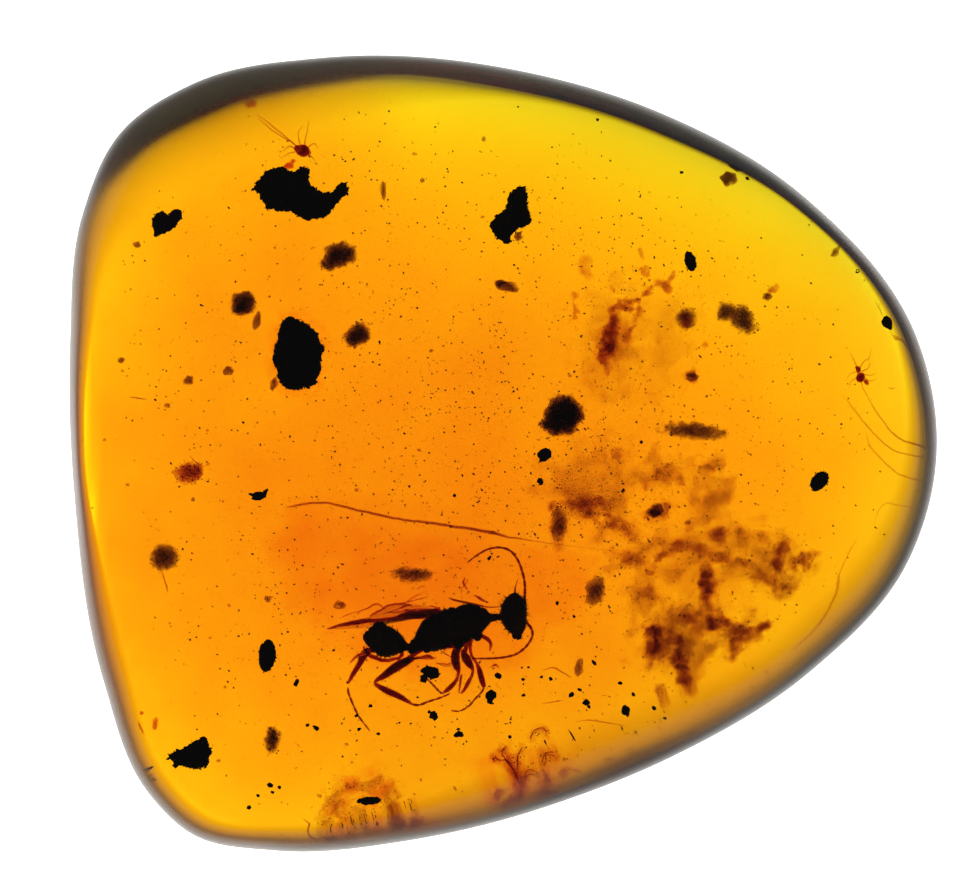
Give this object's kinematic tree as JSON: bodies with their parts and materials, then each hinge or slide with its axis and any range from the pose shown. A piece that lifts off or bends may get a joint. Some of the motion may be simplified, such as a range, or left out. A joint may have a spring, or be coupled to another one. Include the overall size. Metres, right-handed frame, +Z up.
{
  "type": "insect in amber",
  "caption": "Polished lens-shaped piece of clear amber with a wasp, mites and scattered dark debris sealed inside, lying on the small flat of its belly.",
  "frame": {"origin": "under the middle of the outline, on the flat of the belly", "axes": "+X along the stone's length to the narrow nose, +Y across it, +Z up out of the domed face"},
  "size_m": [0.022, 0.0202, 0.006],
  "materials": {
    "amber": "polished",
    "chitin": "satin",
    "mite_skin": "satin",
    "black_debris": "rough",
    "brown_debris": "rough",
    "red_debris": "rough"
  },
  "bodies": {
    "root": {"amber_upper": "amber", "amber_lower": "amber", "wasp": "chitin", "mite_upper": "mite_skin", "mite_right": "mite_skin", "crumb_tailed": "black_debris", "crumb_oval": "black_debris", "crumb_heart": "black_debris", "crumb_two_lobed": "black_debris", "crumb_ragged": "black_debris", "seed_left": "black_debris", "seed_right": "black_debris", "pellet_right": "black_debris", "splinter_low": "black_debris", "crumb_under_wasp": "black_debris", "clod_upper_left": "brown_debris", "clod_left": "brown_debris", "clod_middle": "brown_debris", "clod_centre": "brown_debris", "clod_right": "brown_debris", "clod_right_small": "brown_debris", "clod_low_left": "brown_debris", "splinter_right": "brown_debris", "splinter_over_wasp": "brown_debris", "chip_low_left": "brown_debris", "chip_low_centre": "brown_debris", "chip_centre": "brown_debris", "shred_red": "red_debris", "crumb_two_tone": "red_debris"}
  },
  "joints": []
}
